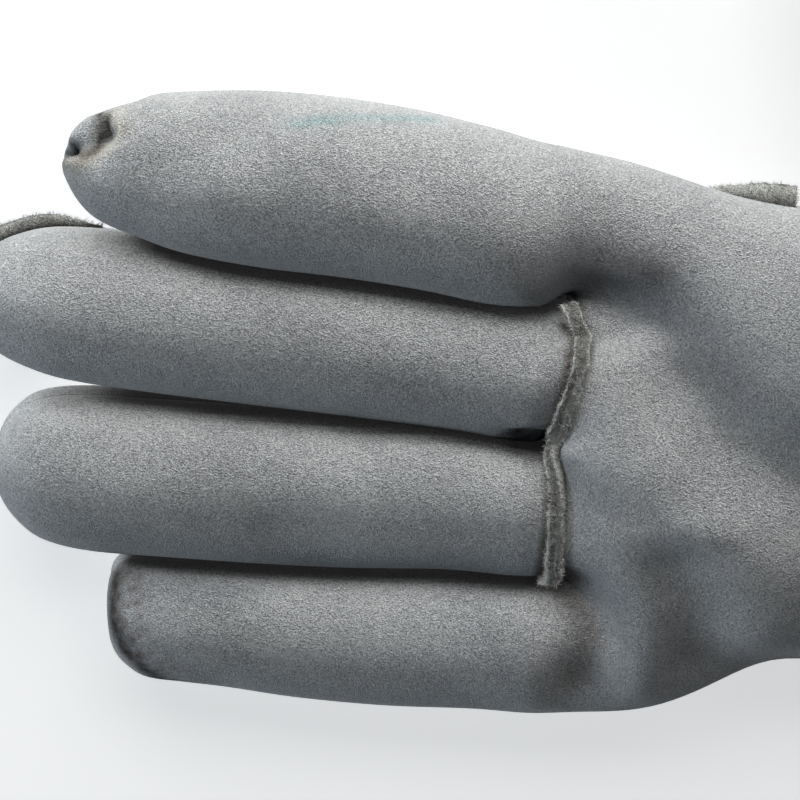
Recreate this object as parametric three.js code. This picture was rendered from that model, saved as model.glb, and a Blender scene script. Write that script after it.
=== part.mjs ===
// Leather work glove for the right hand, lying on its back with the palm up, plump as if worn.
// The fingers point to -X, the index finger is on the +Y side and z = 0 is what the glove lies on.
// The skin is drawn once as a net of rows and columns. It is then cut along its seams into the
// panels that the glove is sewn from, and each panel gets the thickness of the leather.
import * as THREE from 'three';

// Driving dimensions in millimetres, angles in degrees
const WALL = 1.8;
const SEAM_GAP = 0.4;
const SEAM_GROOVE = 0.7;
const FINGER_GAP = 0.4;
const TOUCHING = 0.001;
const MERGE_STEP = 0.002;
const WRIST_X = 59;
const CUFF_END_X = 115;
const BRIDGE = 3.5;

// Net sizes: columns across the front and the back of each finger, rows along each stretch
const FRONT_COLUMNS = [11, 9, 9, 11];
const BACK_COLUMNS = [7, 8, 8, 7];
const FINGER_ROWS = 12;
const PALM_ROWS = 12;
const CUFF_ROWS = 3;
// How strongly rows crowd towards the fingertips and towards the knuckles
const TIP_CROWDING = 1.75;
const KNUCKLE_CROWDING = 1.35;

// Finger sections from tip to palm: x, centre y and z, half width, half height
const FINGERS = [
  { name: 'index', sections: [
    [-131.3, 50.3, 20.6, 0, 0],
    [-128.6, 50.0, 20.4, 6.6, 6.2],
    [-124.5, 49.8, 20.0, 9.8, 9.4],
    [-119.0, 49.4, 19.8, 11.8, 11.4],
    [-111.0, 48.2, 19.6, 13.6, 13.2],
    [-98.0, 47.0, 19.6, 15.0, 14.5],
    [-84.0, 45.5, 19.6, 15.3, 14.7],
    [-70.0, 43.1, 19.5, 15.3, 14.7],
    [-57.0, 39.9, 19.2, 15.2, 14.8],
    [-44.0, 38.4, 18.8, 14.8, 15.0],
    [-20.0, 35.0, 18.3, 13.5, 16.0]] },
  { name: 'middle', sections: [
    [-151.0, 24.2, 14.6, 0, 0],
    [-147.0, 24.0, 14.4, 7.4, 7.2],
    [-141.0, 23.7, 14.3, 11.2, 10.9],
    [-133.0, 23.0, 14.3, 13.4, 13.2],
    [-118.0, 21.2, 14.2, 14.1, 14.2],
    [-100.0, 19.0, 14.2, 14.3, 14.5],
    [-83.0, 16.8, 14.2, 14.3, 14.6],
    [-65.0, 14.2, 14.2, 14.3, 14.6],
    [-49.5, 11.8, 14.6, 14.2, 14.8],
    [-20.0, 12.5, 16.0, 14.0, 16.0]] },
  { name: 'ring', sections: [
    [-146.5, -7.4, 13.9, 0, 0],
    [-143.0, -7.6, 13.9, 9.4, 8.8],
    [-138.0, -8.0, 13.8, 13.3, 12.5],
    [-130.0, -8.7, 13.8, 14.9, 13.7],
    [-118.0, -9.6, 13.8, 15.1, 14.0],
    [-100.0, -10.9, 13.8, 15.2, 14.1],
    [-83.0, -11.9, 13.8, 15.1, 14.1],
    [-65.0, -12.4, 13.8, 14.9, 14.1],
    [-49.0, -14.4, 14.2, 14.2, 14.4],
    [-20.0, -13.0, 15.5, 14.5, 15.6]] },
  { name: 'little', sections: [
    [-127.3, -36.2, 12.2, 0, 0],
    [-126.4, -36.5, 12.2, 7.6, 6.8],
    [-124.3, -37.0, 12.2, 10.3, 9.2],
    [-120.5, -37.8, 12.2, 12.1, 10.9],
    [-114.0, -38.1, 12.2, 12.7, 11.9],
    [-106.0, -38.8, 12.2, 13.0, 12.3],
    [-93.0, -40.4, 12.2, 13.6, 12.5],
    [-77.0, -41.7, 12.3, 13.9, 12.7],
    [-60.0, -42.0, 12.6, 14.1, 13.0],
    [-48.0, -42.4, 13.2, 14.3, 13.4],
    [-20.0, -40.0, 15.0, 14.5, 15.0]] }];

// Hand and cuff sections from knuckles to opening: x, centre y and z, half width, half height
const HAND = [
  [-60.0, -1.6, 16.2, 53.5, 15.8],
  [-44.0, -1.6, 16.4, 53.9, 16.0],
  [-33.0, -3.1, 16.9, 52.0, 17.0],
  [-26.0, -3.7, 17.3, 50.3, 17.8],
  [-20.0, -3.0, 17.6, 47.2, 18.4],
  [-10.0, -1.5, 17.9, 42.8, 18.9],
  [5.0, -1.2, 18.2, 42.6, 19.2],
  [30.0, -0.6, 18.6, 43.4, 19.6],
  [59.0, 0.0, 19.4, 43.4, 20.4],
  [78.0, 0.0, 20.4, 46.2, 21.4],
  [97.0, 0.0, 21.3, 49.8, 22.3],
  [115.0, 0.0, 22.1, 52.8, 23.1]];
const HAND_ROUNDNESS = 2.3;

// Where the fingers join the hand, across the hand from the index side (0) to the little side (4)
const FINGER_BASE = [
  [0.0, -48.0],
  [1.0, -46.2],
  [1.3, -44.4],
  [1.45, -43.6],
  [1.6, -44.9],
  [1.75, -46.0],
  [2.0, -47.4],
  [2.2, -46.3],
  [2.5, -46.5],
  [2.75, -47.4],
  [3.0, -48.2],
  [4.0, -50.0]];
// The two middle fingers bulge over the seam at their foot: depth there, length to either side
const BASE_GROOVE = { depth: 1.8, finger: 4, palm: 2 };
// Angles round the hand section where the gaps between fingers arrive
const GAP_ANGLES = [58.8, 88.5, 118.5];
// How far the clefts run on into the hand, on the palm and on the back
const CLEFT_FADE = [
  { palm: 8, back: 16 },
  { palm: 6.5, back: 15 },
  { palm: 9, back: 15 }];
// How long before the seam each finger's crown starts to fade, and how long that takes. Towards
// its sides the cleft's own values take over, the later the higher the exponent.
const CLEFT_EXPONENT = 1.5;
const CROWNS = [
  { lead: 12, fade: 26 },
  { lead: 10, fade: 20 },
  { lead: 10, fade: 20 },
  { lead: 12, fade: 26 }];

// Side seams between palm and back, as angles from the side: x, angle
const INDEX_SIDE_SEAM = [[-140, -42], [-40, -42], [-26, -32], [-16, -20], [-6, -8], [6, 0], [115, 0]];
const LITTLE_SIDE_SEAM = [[-140, 188], [-50, 188], [0, 184], [40, 180], [115, 180]];
const MIDDLE_SIDE_SEAM = [[-155, -16], [-122, -16], [-100, 0], [0, 0]];

// Dents (+) and ridges (-) pressed into the palm: from x, y to x, y, width, depth
const PALM_RELIEF = [
  [-43, 25, -36, 23, 8.0, 5.0],
  [-36, 22, -26, 11, 9.0, 3.2],
  [-26, 11, -16, 2, 8.5, 3.8],
  [-16, 2, 12, -9, 12.0, 4.0],
  [-42, 6, -33, -2, 6.0, -0.8],
  [-33, -2, -21, -12, 7.0, -1.2],
  [-21, -14, -12, -33, 8.0, -3.4],
  [-29, -19, -25, -40, 6.5, 3.4],
  [-39, -3, -36, -25, 5.0, -1.0],
  [-36, -25, -36, -48, 5.0, -2.0],
  [-43, -26, -42, -30, 4.5, 3.0],
  [-42, -30, -44, -40, 4.5, 2.6],
  [-44, -40, -47, -56, 5.0, 2.6],
  [-20, -47, -12, -36, 5.0, -1.6],
  [-15, -38, -2, -46, 6.0, 2.0]];
// How far up the skin has to face for the palm's dents to show: upward share of its direction
const RELIEF_FACING = { none: 0.15, full: 0.65 };
// Dimples round the fingers: finger, x, angle, length, arc width in degrees, depth. They leave at
// least this share of the finger's half width.
const DIMPLE_FLOOR = 0.4;
const FINGER_RELIEF = [
  [0, -125.5, 52, 3.2, 26, 2.2],
  [0, -131, 150, 3.0, 40, 1.0],
  [0, -75, 60, 16, 30, 0.6],
  [1, -70, 70, 20, 30, 0.5],
  [2, -90, 95, 22, 30, 0.5],
  [3, -85, 80, 16, 30, 0.5]];

// Stretch along x where the skin is evened out, rising and falling, and how many times
const RELAX_STRETCH = [-47, -40, -30, 0];
const RELAX_ROUNDS = 3;

// Thumb: opening in the side of the hand, then sections along its axis
const THUMB_ROWS = { from: 7, to: 11 };
const THUMB_COLUMNS = { front: 7, back: 5 };
const THUMB_HEADING = 112;
// Share of each distance by which the opening's edge shifts, and sections until the tube is round
const THUMB_START = { shift: 0.8, sections: 3 };
// distance along the axis, half width, half height, centre height
const THUMB_SECTIONS = [
  [7, 18.5, 15.0, 18.4],
  [17, 16.6, 14.6, 17.6],
  [29, 15.6, 14.2, 16.8],
  [42, 15.0, 13.8, 16.4],
  [53, 13.8, 12.8, 16.2],
  [61, 11.2, 10.4, 16.2],
  [65.5, 7.2, 6.6, 16.2],
  [67.5, 0, 0, 16.2]];

// Welts, the raw strips sewn into seams: corners as sideways, height above the groove
const WELT_SEAT = 0.7;
const BASE_WELT = [[-0.6, WELT_SEAT], [0.6, WELT_SEAT], [1.3, 1.7], [1.2, 2.5], [-1.2, 2.5], [-1.3, 1.7]];
const FINGER_WELT = [[-0.6, WELT_SEAT], [0.6, WELT_SEAT], [0.6, 2.9], [-0.6, 2.9]];
const SIDE_WELT = [[-0.8, WELT_SEAT], [0.8, WELT_SEAT], [0.8, 4.1], [-0.8, 4.1]];
const FINGER_WELT_ROWS = [11, 10, 9, 8, 7];
const SIDE_WELT_ROWS = [3, 4, 5, 6];
// Where along its length a strip changes height (0 to 1), and the shares of its full height
const EVEN = { from: 0, to: 1, start: 1, end: 1 };
const FINGER_WELT_RISE = { from: 0.6, to: 1, start: 1, end: 0.3 };
const SIDE_WELT_RISE = { from: 0, to: 0.77, start: 0.2, end: 1 };

const RAD = Math.PI / 180;
const clamp = (v, lo, hi) => Math.min(hi, Math.max(lo, v));
const mix = (a, b, t) => a + (b - a) * t;
const ease = (t) => {
  const c = clamp(t, 0, 1);
  return c * c * (3 - 2 * c);
};

// Smooth curve through the rows of a table, read at x. Columns listed in `squared` go through
// the squares of their values, so that a tip closes round.
function along(rows, x, squared = []) {
  const last = rows.length - 1;
  const at = clamp(x, rows[0][0], rows[last][0]);
  let i = 0;
  while (i < last - 1 && at > rows[i + 1][0]) i += 1;
  const p = [rows[Math.max(i - 1, 0)], rows[i], rows[i + 1], rows[Math.min(i + 2, last)]];
  const span = p[2][0] - p[1][0];
  const t = (at - p[1][0]) / span;
  return p[1].map((_, c) => {
    const v = p.map((row) => (squared.includes(c) ? row[c] ** 2 : row[c]));
    const d1 = p[2][0] > p[0][0] ? (v[2] - v[0]) / (p[2][0] - p[0][0]) : 0;
    const d2 = p[3][0] > p[1][0] ? (v[3] - v[1]) / (p[3][0] - p[1][0]) : 0;
    const h = (2 * t ** 3 - 3 * t ** 2 + 1) * v[1] + (t ** 3 - 2 * t ** 2 + t) * span * d1
      + (3 * t ** 2 - 2 * t ** 3) * v[2] + (t ** 3 - t ** 2) * span * d2;
    return squared.includes(c) ? Math.sqrt(Math.max(h, 0)) : h;
  });
}

const fingerSection = (f, x) => along(FINGERS[f].sections, x, [3, 4]);
const tipX = (f) => FINGERS[f].sections[0][0];
const baseX = (s) => along(FINGER_BASE, s)[1];

// Seam angles on the index side (+Y) and the little side (-Y) of a finger
function seamAngles(f, x) {
  const plus = [along(INDEX_SIDE_SEAM, x)[1], along(MIDDLE_SIDE_SEAM, x)[1], 0, 0][f];
  const minus = f === 3 ? along(LITTLE_SIDE_SEAM, x)[1] : 180;
  return [plus, minus];
}

// Shallow dimples pressed towards the middle of a finger
function fingerDent(f, x, angle) {
  return FINGER_RELIEF.filter((row) => row[0] === f).reduce((sum, [, x0, angle0, length, arc, depth]) => {
    const turn = ((angle - angle0 + 540) % 360) - 180;
    return sum + depth * Math.exp(-(((x - x0) / length) ** 2) - (turn / arc) ** 2);
  }, 0);
}

// Point on a finger at station x and an angle from +Y over the palm side. Neighbouring fingers
// press each other flat where they meet.
function fingerPoint(f, x, angle) {
  const [, y, z, a, b] = fingerSection(f, x);
  const dent = fingerDent(f, x, angle);
  let py = y + Math.max(a - dent, a * DIMPLE_FLOOR) * Math.cos(angle * RAD);
  let pz = z + Math.max(b - dent, b * DIMPLE_FLOOR) * Math.sin(angle * RAD);
  for (const g of [f - 1, f + 1]) {
    if (g < 0 || g > 3 || x <= tipX(g)) continue;
    const [, yg, zg, ag] = fingerSection(g, x);
    const apart = Math.hypot(yg - y, zg - z);
    const ey = (yg - y) / apart;
    const ez = (zg - z) / apart;
    const limit = apart * (a / Math.max(a + ag, 0.01)) - FINGER_GAP / 2;
    const over = (py - y) * ey + (pz - z) * ez - limit;
    if (a + ag > apart && over > 0) {
      py -= over * ey;
      pz -= over * ez;
    }
  }
  return [x, py, Math.max(pz, 0)];
}

// Depth of the palm's dents at a place seen from above
function palmRelief(x, y) {
  return PALM_RELIEF.reduce((sum, [x1, y1, x2, y2, width, depth]) => {
    const dx = x2 - x1;
    const dy = y2 - y1;
    const t = clamp(((x - x1) * dx + (y - y1) * dy) / (dx * dx + dy * dy), 0, 1);
    const away = Math.hypot(x - x1 - t * dx, y - y1 - t * dy);
    return sum + depth * Math.exp(-((away / width) ** 2));
  }, 0);
}

// Point on the hand or cuff at station x and an angle from +Y over the palm
function handPoint(x, angle) {
  const [, y, z, a, b] = along(HAND, x);
  const c = Math.cos(angle * RAD);
  const s = Math.sin(angle * RAD);
  const power = 2 / HAND_ROUNDNESS;
  const py = y + a * Math.sign(c) * Math.abs(c) ** power;
  const pz = z + b * Math.sign(s) * Math.abs(s) ** power;
  return [x, py, Math.max(pz, 0)];
}

// Angle round the hand for finger f at t from its +Y side (0) to its -Y side (1)
function handAngle(f, x, t, side) {
  const start = f === 0 ? along(INDEX_SIDE_SEAM, x)[1] : side * GAP_ANGLES[f - 1];
  const littleSeam = along(LITTLE_SIDE_SEAM, x)[1];
  const end = f < 3 ? side * GAP_ANGLES[f] : side > 0 ? littleSeam : littleSeam - 360;
  return mix(start, end, t);
}

// Where a cleft starts and how long it takes to fade, at a gap between fingers
function cleft(gap, side) {
  const start = baseX(gap) - (gap === 2 ? BRIDGE : 0);
  const fade = CLEFT_FADE[gap - 1];
  return [start, side > 0 ? fade.palm : fade.back];
}

// Skin point in the hand next to the fingers: their forms fade into the hand
function knucklePoint(f, x, t, side) {
  const [plus, minus] = seamAngles(f, x);
  const end = side > 0 ? minus : minus - 360;
  let form = fingerPoint(f, x, mix(plus, end, t));
  if (t === 0 && f > 0 && x > cleft(f, side)[0] - TOUCHING) {
    form = midpoint(form, fingerPoint(f - 1, x, side * 180));
  }
  if (t === 1 && f < 3 && x > cleft(f + 1, side)[0] - TOUCHING) {
    form = midpoint(form, fingerPoint(f + 1, x, 0));
  }
  const hand = handPoint(x, handAngle(f, x, t, side));
  const q = 2 * t - 1;
  const gap = q < 0 ? f : f + 1;
  const crownStart = baseX(f + 0.5) - CROWNS[f].lead;
  let start = crownStart;
  let { fade } = CROWNS[f];
  if (gap > 0 && gap < 4) {
    const [gapStart, gapFade] = cleft(gap, side);
    start = mix(crownStart, gapStart, Math.abs(q) ** CLEFT_EXPONENT);
    fade = mix(CROWNS[f].fade, gapFade, Math.abs(q) ** CLEFT_EXPONENT);
  }
  const w = ease((x - start) / fade);
  const z = mix(form[2], hand[2], w) - baseGroove(f, x, t, side, w);
  return [x, mix(form[1], hand[1], w), Math.max(z, 0)];
}

// Depth of the groove at the foot of the two middle fingers, on the palm side. It runs out at
// their outer sides, and on between the two as far as they have faded into the hand.
function baseGroove(f, x, t, side, faded) {
  if (side < 0 || f === 0 || f === 3) return 0;
  const off = x - baseX(f + t);
  const length = off < 0 ? BASE_GROOVE.finger : BASE_GROOVE.palm;
  const across = Math.sin(t * Math.PI);
  const between = (f === 1) === (t > 0.5) ? (1 - across) * faded : 0;
  return BASE_GROOVE.depth * Math.exp(-((off / length) ** 2)) * (across + between);
}

const midpoint = (p, q) => p.map((v, i) => (v + q[i]) / 2);

// The net of the whole skin: shared points, and four-cornered faces named by their panel
const points = [];
const pointIndex = new Map();
const faces = [];

function addPoint(p) {
  const key = p.map((v) => Math.round(v / MERGE_STEP)).join(',');
  if (!pointIndex.has(key)) {
    pointIndex.set(key, points.length);
    points.push(new THREE.Vector3(...p));
  }
  return pointIndex.get(key);
}

// Faces between rows of point numbers. `flip` turns them to face outwards.
function addNet(rows, panelOf, flip) {
  for (let r = 0; r + 1 < rows.length; r += 1) {
    for (let c = 0; c + 1 < rows[r].length; c += 1) {
      const panel = panelOf(r, c);
      if (!panel) continue;
      const quad = [rows[r][c], rows[r + 1][c], rows[r + 1][c + 1], rows[r][c + 1]];
      const loop = quad.filter((v, i) => v !== quad[(i + 3) % 4]);
      if (loop.length > 2) faces.push({ panel, loop: flip ? loop.reverse() : loop });
    }
  }
}

const FRONT_PANEL = ['palm_panel', 'finger_panel', 'finger_panel', 'palm_panel'];

// Station x of finger row r: row 0 is the foot, and rows lie closer together towards the tip
function fingerRowX(f, s, r) {
  const base = baseX(s);
  if (r === 0) return base;
  const left = base - BRIDGE - tipX(f);
  return tipX(f) + left * (1 - (r - 1) / (FINGER_ROWS - 1)) ** TIP_CROWDING;
}

function buildFingers() {
  for (const side of [1, -1]) {
    for (let f = 0; f < 4; f += 1) {
      const columns = (side > 0 ? FRONT_COLUMNS : BACK_COLUMNS)[f];
      const rows = [];
      for (let r = 0; r <= FINGER_ROWS; r += 1) {
        rows.push(Array.from({ length: columns + 1 }, (_, c) => {
          const t = c / columns;
          const x = fingerRowX(f, f + t, r);
          if (r < FINGER_ROWS) return addPoint(knucklePoint(f, x, t, side));
          return addPoint([x, ...fingerSection(f, x).slice(1, 3)]);
        }));
      }
      addNet(rows, () => (side > 0 ? FRONT_PANEL[f] : 'back_panel'), side < 0);
    }
  }
}

// Station of hand row r: close rows at the knuckles, wider ones towards the wrist
const handRowX = (s, r) => mix(baseX(s), WRIST_X, (r / PALM_ROWS) ** KNUCKLE_CROWDING);

// Point numbers of one row of the hand, from the index side to the little side
function handRow(r, side) {
  const counts = side > 0 ? FRONT_COLUMNS : BACK_COLUMNS;
  return counts.flatMap((columns, f) => Array.from({ length: columns + (f === 3 ? 1 : 0) }, (_, c) =>
    addPoint(knucklePoint(f, handRowX(f + c / columns, r), c / columns, side))));
}

function cuffRow(r, side) {
  const counts = side > 0 ? FRONT_COLUMNS : BACK_COLUMNS;
  const x = mix(WRIST_X, CUFF_END_X, r / CUFF_ROWS);
  return counts.flatMap((columns, f) => Array.from({ length: columns + (f === 3 ? 1 : 0) }, (_, c) =>
    addPoint(handPoint(x, handAngle(f, x, c / columns, side)))));
}

function buildHand() {
  const edges = {};
  for (const side of [1, -1]) {
    const rows = Array.from({ length: PALM_ROWS + 1 }, (_, r) => handRow(r, side));
    const limit = side > 0 ? THUMB_COLUMNS.front : THUMB_COLUMNS.back;
    const inThumb = (r, c) => r >= THUMB_ROWS.from && r < THUMB_ROWS.to && c < limit;
    const panel = side > 0 ? 'palm_panel' : 'back_panel';
    addNet(rows, (r, c) => (inThumb(r, c) ? null : panel), side > 0);
    edges[side] = [
      ...rows[THUMB_ROWS.from].slice(0, limit),
      ...rows.slice(THUMB_ROWS.from, THUMB_ROWS.to).map((row) => row[limit]),
      ...rows[THUMB_ROWS.to].slice(0, limit + 1).reverse()];
    const cuff = Array.from({ length: CUFF_ROWS + 1 }, (_, r) => cuffRow(r, side));
    addNet(cuff, () => 'cuff', side > 0);
  }
  return edges;
}

// Thumb: each half starts on half of the opening's edge and turns into half of a round tube
function buildThumb(edges) {
  const heading = new THREE.Vector3(Math.cos(THUMB_HEADING * RAD), Math.sin(THUMB_HEADING * RAD), 0);
  const across = new THREE.Vector3(-heading.y, heading.x, 0);
  const middle = new THREE.Vector3();
  const ends = [edges[1][0], edges[1][edges[1].length - 1]].map((i) => points[i]);
  middle.addVectors(ends[0], ends[1]).multiplyScalar(0.5);
  for (const side of [1, -1]) {
    const edge = edges[side];
    const rows = [edge];
    const lengths = edge.map((v, i) => (i ? points[v].distanceTo(points[edge[i - 1]]) : 0));
    const total = lengths.reduce((sum, v) => sum + v, 0);
    let run = 0;
    const turns = lengths.map((v) => {
      run += v;
      return (run / total) * Math.PI;
    });
    THUMB_SECTIONS.forEach(([distance, halfWidth, halfHeight, height], j) => {
      const settle = ease((j + 1) / THUMB_START.sections);
      rows.push(edge.map((start, c) => {
        const turn = turns[c];
        const x = Math.cos(turn) * halfWidth;
        const z = side * Math.sin(turn) * halfHeight;
        const round = middle.clone().addScaledVector(heading, distance).addScaledVector(across, x);
        round.z = height + z;
        const shifted = points[start].clone().addScaledVector(heading, distance * THUMB_START.shift);
        const p = shifted.lerp(round, settle);
        return addPoint([p.x, p.y, Math.max(p.z, 0)]);
      }));
    });
    addNet(rows, () => (side > 0 ? 'thumb_front' : 'thumb_back'), side > 0);
  }
}

buildFingers();
buildThumb(buildHand());

// Panels that meet at each point of the net
const panelsAt = points.map(() => new Set());
faces.forEach(({ panel, loop }) => loop.forEach((v) => panelsAt[v].add(panel)));

// Leather bridges sharp hollows: points near the knuckles settle between their neighbours
function relax() {
  const neighbours = points.map(() => new Set());
  faces.forEach(({ loop }) => loop.forEach((v, i) => {
    neighbours[v].add(loop[(i + 1) % loop.length]);
    neighbours[v].add(loop[(i + loop.length - 1) % loop.length]);
  }));
  const [start, full, fade, end] = RELAX_STRETCH;
  const moved = points.map((p, i) => {
    const share = ease((p.x - start) / (full - start)) * ease((end - p.x) / (end - fade));
    if (share === 0 || panelsAt[i].size > 1) return p;
    const middle = [...neighbours[i]].reduce((sum, v) => sum.add(points[v]), new THREE.Vector3());
    return p.clone().lerp(middle.divideScalar(neighbours[i].size), share / 2);
  });
  points.splice(0, points.length, ...moved);
}
for (let round = 0; round < RELAX_ROUNDS; round += 1) relax();

// Outward direction of the skin at each of its points
const outward = points.map(() => new THREE.Vector3());
function turnOutward() {
  outward.forEach((n) => n.set(0, 0, 0));
  for (const { loop } of faces) {
    const [a, b, c, d] = [0, 1, 2, loop.length - 1].map((i) => points[loop[i]]);
    const normal = new THREE.Vector3().subVectors(c, a).cross(new THREE.Vector3().subVectors(d, b));
    if (loop.length === 3) normal.subVectors(b, a).cross(new THREE.Vector3().subVectors(c, a));
    for (const v of loop) outward[v].add(normal);
  }
  outward.forEach((n) => n.normalize());
}

// Dents and ridges of the palm, only where the skin faces up
turnOutward();
points.forEach((p, i) => {
  const facing = ease((outward[i].z - RELIEF_FACING.none) / (RELIEF_FACING.full - RELIEF_FACING.none));
  p.addScaledVector(outward[i], -palmRelief(p.x, p.y) * facing);
});
turnOutward();

// Seams draw the skin in, so the points shared by two panels sink into a groove
points.forEach((p, i) => {
  if (panelsAt[i].size > 1) p.addScaledVector(outward[i], -SEAM_GROOVE);
  p.z = Math.max(p.z, 0);
});

function solidFrom(vertices, loops) {
  const index = loops.flatMap((loop) => loop.slice(2).flatMap((v, i) => [loop[0], loop[i + 1], v]));
  const geometry = new THREE.BufferGeometry();
  const numbers = vertices.flatMap((v) => v.toArray());
  geometry.setAttribute('position', new THREE.Float32BufferAttribute(numbers, 3));
  geometry.setIndex(index);
  return geometry;
}

// One leather panel: its part of the skin, the same again one wall further in, and the cut edges
function panelSolid(name) {
  const own = faces.filter((face) => face.panel === name).map((face) => face.loop);
  const used = new Set(own.flat());
  const edges = new Map(own.flatMap((loop) => loop.map((v, i) => {
    const w = loop[(i + 1) % loop.length];
    return [`${v},${w}`, [v, w]];
  })));
  const border = [...edges.values()].filter(([v, w]) => !edges.has(`${w},${v}`));
  const inwards = new Map(border.flat().map((v) => [v, new THREE.Vector3()]));
  for (const [v, w] of border) {
    const edge = new THREE.Vector3().subVectors(points[w], points[v]).normalize();
    for (const end of [v, w]) {
      inwards.get(end).add(new THREE.Vector3().crossVectors(outward[end], edge));
    }
  }
  const number = new Map();
  const outer = [];
  const inner = [];
  for (const v of used) {
    number.set(v, outer.length);
    const p = points[v].clone();
    if (inwards.has(v)) p.addScaledVector(inwards.get(v).normalize(), SEAM_GAP / 2);
    outer.push(p);
    inner.push(p.clone().addScaledVector(outward[v], -WALL));
  }
  const n = outer.length;
  const out = (v) => number.get(v);
  const into = (v) => number.get(v) + n;
  const rim = ([v, w]) => (v < w
    ? [[out(w), out(v), into(v)], [out(w), into(v), into(w)]]
    : [[out(v), into(v), into(w)], [out(w), out(v), into(w)]]);
  return solidFrom([...outer, ...inner], [
    ...own.map((loop) => loop.map(out)),
    ...own.map((loop) => loop.map(into).reverse()),
    ...border.flatMap(rim)]);
}

// A strip of leather that stands in a seam: a section of [sideways, height] carried along a path
// of skin points. `rise` says how its height changes on the way.
function weltSolid(path, section, rise) {
  const vertices = [];
  const loops = [];
  const count = section.length;
  path.forEach((v, i) => {
    const way = (i / (path.length - 1) - rise.from) / (rise.to - rise.from);
    const share = mix(rise.start, rise.end, ease(way));
    const before = points[path[Math.max(i - 1, 0)]];
    const after = points[path[Math.min(i + 1, path.length - 1)]];
    const forward = new THREE.Vector3().subVectors(after, before).normalize();
    const up = outward[v].clone().addScaledVector(forward, -outward[v].dot(forward)).normalize();
    const sideways = new THREE.Vector3().crossVectors(forward, up);
    for (const [reach, height] of section) {
      const tall = WELT_SEAT + (height - WELT_SEAT) * share;
      vertices.push(points[v].clone().addScaledVector(sideways, reach).addScaledVector(up, tall));
    }
    if (i === 0) return;
    for (let c = 0; c < count; c += 1) {
      const d = (c + 1) % count;
      loops.push([(i - 1) * count + c, i * count + c, i * count + d, (i - 1) * count + d]);
    }
  });
  const end = (path.length - 1) * count;
  loops.push(section.map((_, c) => c), section.map((_, c) => end + c).reverse());
  return solidFrom(vertices, loops);
}

const netPoint = (f, x, t) => addPoint(knucklePoint(f, x, t, 1));

// Base welt: along the foot of the middle and ring fingers, from cleft to cleft
const basePath = [1, 2].flatMap((f) => Array.from({ length: FRONT_COLUMNS[f] + (f === 2 ? 1 : 0) }, (_, c) =>
  netPoint(f, baseX(f + c / FRONT_COLUMNS[f]), c / FRONT_COLUMNS[f])));
// Finger welt: along the outer side seam of the middle finger, near its tip
const fingerPath = FINGER_WELT_ROWS.map((r) => netPoint(1, fingerRowX(1, 1, r), 0));
// Side welt: along the side seam from the knuckle to the foot of the thumb
const sidePath = SIDE_WELT_ROWS.map((r) => netPoint(0, handRowX(0, r), 0));

const SUEDE = { color: 0x8f9699, roughness: 0.95, metalness: 0 };
const SUEDE_EDGE = { color: 0x7d7f74, roughness: 1, metalness: 0 };

const glove = new THREE.Group();

function addPiece(name, geometry, look) {
  geometry.computeVertexNormals();
  const piece = new THREE.Mesh(geometry, new THREE.MeshStandardMaterial(look));
  piece.name = name;
  glove.add(piece);
}

for (const name of ['palm_panel', 'finger_panel', 'back_panel', 'thumb_front', 'thumb_back', 'cuff']) {
  addPiece(name, panelSolid(name), SUEDE);
}
addPiece('base_welt', weltSolid(basePath.slice(2, -1), BASE_WELT, EVEN), SUEDE_EDGE);
addPiece('finger_welt', weltSolid(fingerPath, FINGER_WELT, FINGER_WELT_RISE), SUEDE_EDGE);
addPiece('side_welt', weltSolid(sidePath, SIDE_WELT, SIDE_WELT_RISE), SUEDE_EDGE);

export default glove;
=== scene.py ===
import math

import bmesh
import bpy
import numpy as np
from mathutils import Matrix, Vector, kdtree, noise
from mathutils.bvhtree import BVHTree


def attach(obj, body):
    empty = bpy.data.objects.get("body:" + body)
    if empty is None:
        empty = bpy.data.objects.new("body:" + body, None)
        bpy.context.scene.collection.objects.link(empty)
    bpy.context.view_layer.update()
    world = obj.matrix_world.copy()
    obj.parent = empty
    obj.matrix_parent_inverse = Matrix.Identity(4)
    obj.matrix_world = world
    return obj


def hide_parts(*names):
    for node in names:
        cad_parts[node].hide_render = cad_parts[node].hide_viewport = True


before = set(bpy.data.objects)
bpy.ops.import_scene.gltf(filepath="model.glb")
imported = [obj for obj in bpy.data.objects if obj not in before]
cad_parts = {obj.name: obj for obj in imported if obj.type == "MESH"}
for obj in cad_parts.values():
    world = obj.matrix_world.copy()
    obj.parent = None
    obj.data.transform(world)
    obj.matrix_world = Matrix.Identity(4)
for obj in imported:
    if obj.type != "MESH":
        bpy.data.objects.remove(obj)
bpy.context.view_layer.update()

MM = 0.001

# The view: straight down on the palm, tilted 22 degrees towards the index finger's side, so that
# each finger covers a little of the next. The picture is 800 pixels wide, 0.175 mm to a pixel.
VIEW_TARGET = Vector((-74.0, 6.0, 18.0)) * MM
VIEW_TILT = math.radians(22)
VIEW_DISTANCE = 520 * MM
PICTURE_PIXELS = 800
PIXEL_SIZE = 0.175 * MM
SENSOR = 36.0
NEAREST_SEEN = 50 * MM

camera_data = bpy.data.cameras.new("camera")
camera_data.sensor_width = SENSOR
camera_data.lens = SENSOR * VIEW_DISTANCE / (PICTURE_PIXELS * PIXEL_SIZE)
camera_data.clip_start = NEAREST_SEEN
camera = bpy.data.objects.new("camera", camera_data)
bpy.context.scene.collection.objects.link(camera)
view_back = Vector((0, math.sin(VIEW_TILT), math.cos(VIEW_TILT)))
view_up = Vector((0, math.cos(VIEW_TILT), -math.sin(VIEW_TILT)))
turn = Matrix((Vector((1, 0, 0)), view_up, view_back)).transposed().to_4x4()
camera.matrix_world = Matrix.Translation(VIEW_TARGET + view_back * VIEW_DISTANCE) @ turn
bpy.context.scene.camera = camera
bpy.context.scene.view_settings.view_transform = "Standard"

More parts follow.
